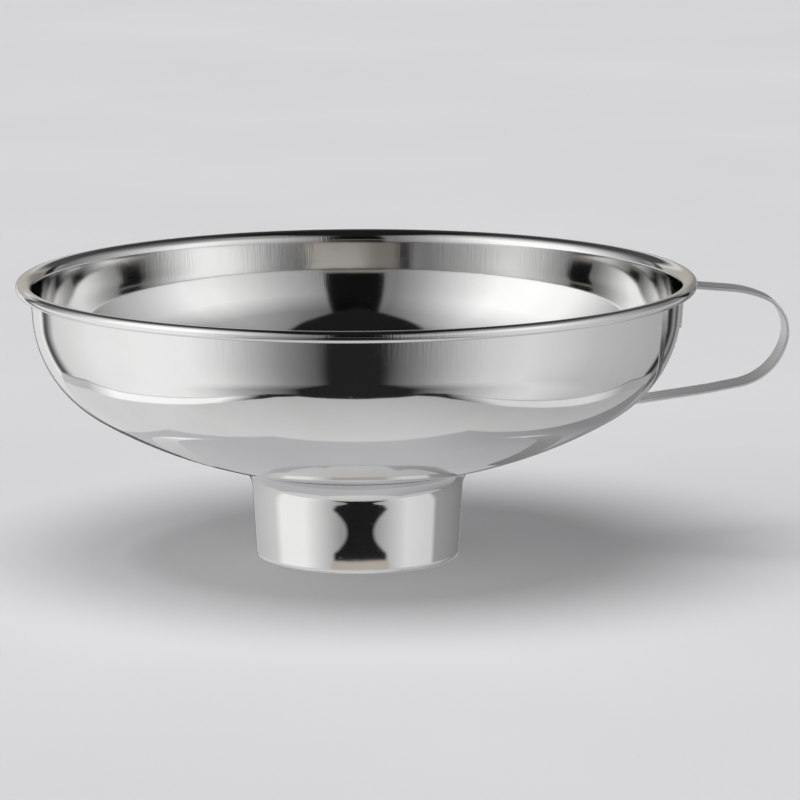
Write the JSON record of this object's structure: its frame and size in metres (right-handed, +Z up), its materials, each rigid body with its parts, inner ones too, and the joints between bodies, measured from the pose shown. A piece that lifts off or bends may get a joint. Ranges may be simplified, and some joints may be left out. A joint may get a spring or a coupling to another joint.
{
  "type": "canning funnel",
  "caption": "Wide-mouth stainless steel canning funnel with a rounded bowl, short straight spout, rolled rim and a strip finger-loop handle.",
  "frame": {"origin": "centre of the spout's flat lower edge, on the funnel's axis, where the funnel stands", "axes": "+Z up along the funnel's axis from spout to mouth; +X towards the handle's side, with the handle turned 4.3 degrees from +X towards +Y; -Y is the side that the view is taken from"},
  "size_m": [0.1597, 0.14, 0.058],
  "materials": {
    "polished_steel": "mirror-polished stainless steel sheet",
    "strip_steel": "tumbled satin stainless steel strip",
    "weld_steel": "spot-welded stainless steel, slightly heat-darkened"
  },
  "bodies": {
    "root": {"funnel_bowl": "polished_steel", "handle_strap": "strip_steel", "spot_welds": "weld_steel"}
  },
  "joints": []
}
